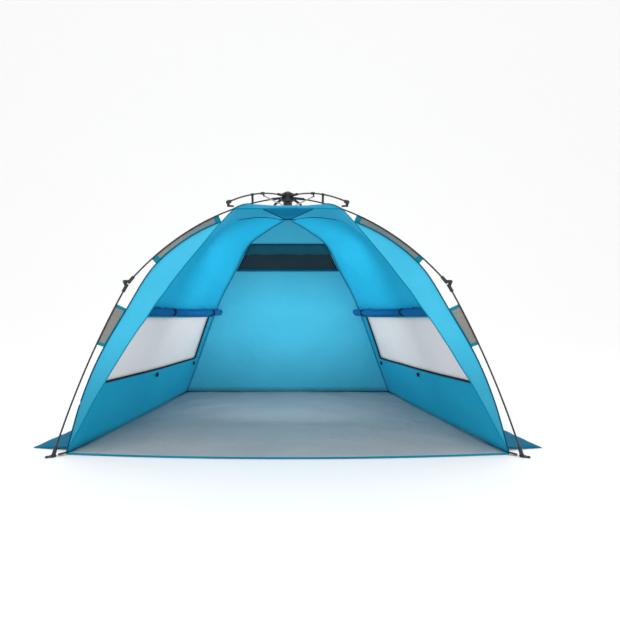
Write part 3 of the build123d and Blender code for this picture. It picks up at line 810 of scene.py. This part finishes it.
HINGE = (.050, 1.308)
LEGS = {"front": (FRONT_AZ, (9.0, 49.3, 1.040), (61.0, 73.0, .886), FRONT_SEAM),
        "rear": (REAR_AZ, (24.0, 66.0, .930), (61.0, 66.5, .742), REAR_SEAM)}
# leg, rod, and the shares of the rod where the sleeve starts and ends
SLEEVES = [("front", "upper", .40, .83), ("front", "lower", .13, .375), ("rear", "upper", .34, .80)]

def sleeve_pieces(place, part, side_name, side, first, last):
    """A mesh sleeve, its end tabs and its hem, which all move with the leg."""
    az, upper, lower, points = LEGS[place]
    start, rod = (HINGE, upper) if part == "upper" else (bend_at(HINGE, upper, 1.0)[0], lower)
    name = f"{place}_{side_name}_{part}_sleeve"
    rows = sleeve_rows(side, az, start, rod, points, first, last, 40)
    middle = rows[2:-2]
    strip = grid(f"{name}_mesh", middle, SLEEVE, .0008)
    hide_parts(name)
    declare_sheet(middle)
    tabs = [grid("tab", rows[:4], TAB, .0024), grid("tab", rows[-4:], TAB, .0024)]
    tabs.append(tube("hem", [r[-1] for r in rows], .0022, TAB, 6))
    for o in (strip, join(f"{name}_tabs", tabs)):
        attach(o, f"{place}_{side_name}_{part}_leg")


for place, part, first, last in SLEEVES:
    for side_name, side in SIDES:
        sleeve_pieces(place, part, side_name, side, first, last)


# ---- carried-over CAD nodes ---------------------------------------------------------------------
def finish_nodes():
    """Moulded plastic, fibreglass or metal on every CAD node that still shows."""
    for name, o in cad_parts.items():
        if o.hide_render:
            continue
        m = PLASTIC
        if name.endswith("_strut") or name == "crown_hinge_pins":
            m = METAL
        elif name.endswith("rod"):
            m = ROD
        o.data.materials.clear()
        o.data.materials.append(m)


finish_nodes()


# ---- stage, light, camera -----------------------------------------------------------------------
def stage():
    """A pale floor that curves up into a backdrop."""
    wide, start, bend_r = 14.0, 3.0, 3.5
    line = [(-wide, 0)]
    line += [(start + bend_r * sin(radians(6 * k)), bend_r * (1 - cos(radians(6 * k)))) for k in range(16)]
    line.append((start + bend_r, 9.0))
    m = bpy.data.materials.new("floor_white")
    m.use_nodes = True
    b = m.node_tree.nodes["Principled BSDF"]
    b.inputs["Base Color"].default_value = (.97, .97, .97, 1)
    b.inputs["Roughness"].default_value = .9
    rows = [[Vector((-wide, y, z - .001)), Vector((wide, y, z - .001))] for y, z in line]
    grid("studio_floor", rows, m, 0)


def light(name, kind, energy, place, target, size=2.0, colour=(1, 1, 1)):
    data = bpy.data.lights.new(name, kind)
    data.energy = energy
    data.color = colour
    if kind == "AREA":
        data.size = size
    o = bpy.data.objects.new(name, data)
    o.location = place
    o.rotation_euler = (Vector(target) - Vector(place)).to_track_quat("-Z", "Y").to_euler()
    bpy.context.scene.collection.objects.link(o)


stage()
bpy.context.scene.view_settings.view_transform = "Standard"
world = bpy.data.worlds.new("studio")
world.use_nodes = True
world.node_tree.nodes["Background"].inputs["Color"].default_value = (1, 1, 1, 1)
world.node_tree.nodes["Background"].inputs["Strength"].default_value = 0.97
bpy.context.scene.world = world
light("key", "AREA", 34, (-1.5, -3.2, 4.2), (0, 0, .6), 3.0)
light("inner", "AREA", 3.2, (0, -.15, .60), (0, .6, .60), .8)
light("fill", "AREA", 12, (2.5, -3.5, 2.0), (0, 0, .5), 3.0)
light("top", "AREA", 22, (0, .5, 4.5), (0, 0, .5), 3.5)

camera = bpy.data.cameras.new("camera")
camera.lens = 29.6
camera.shift_x = 0.036
camera.shift_y = -0.062
eye = bpy.data.objects.new("camera", camera)
eye.location = (0, -3.062, .8726)
eye.rotation_euler = (radians(90), 0, 0)
bpy.context.scene.collection.objects.link(eye)
bpy.context.scene.camera = eye
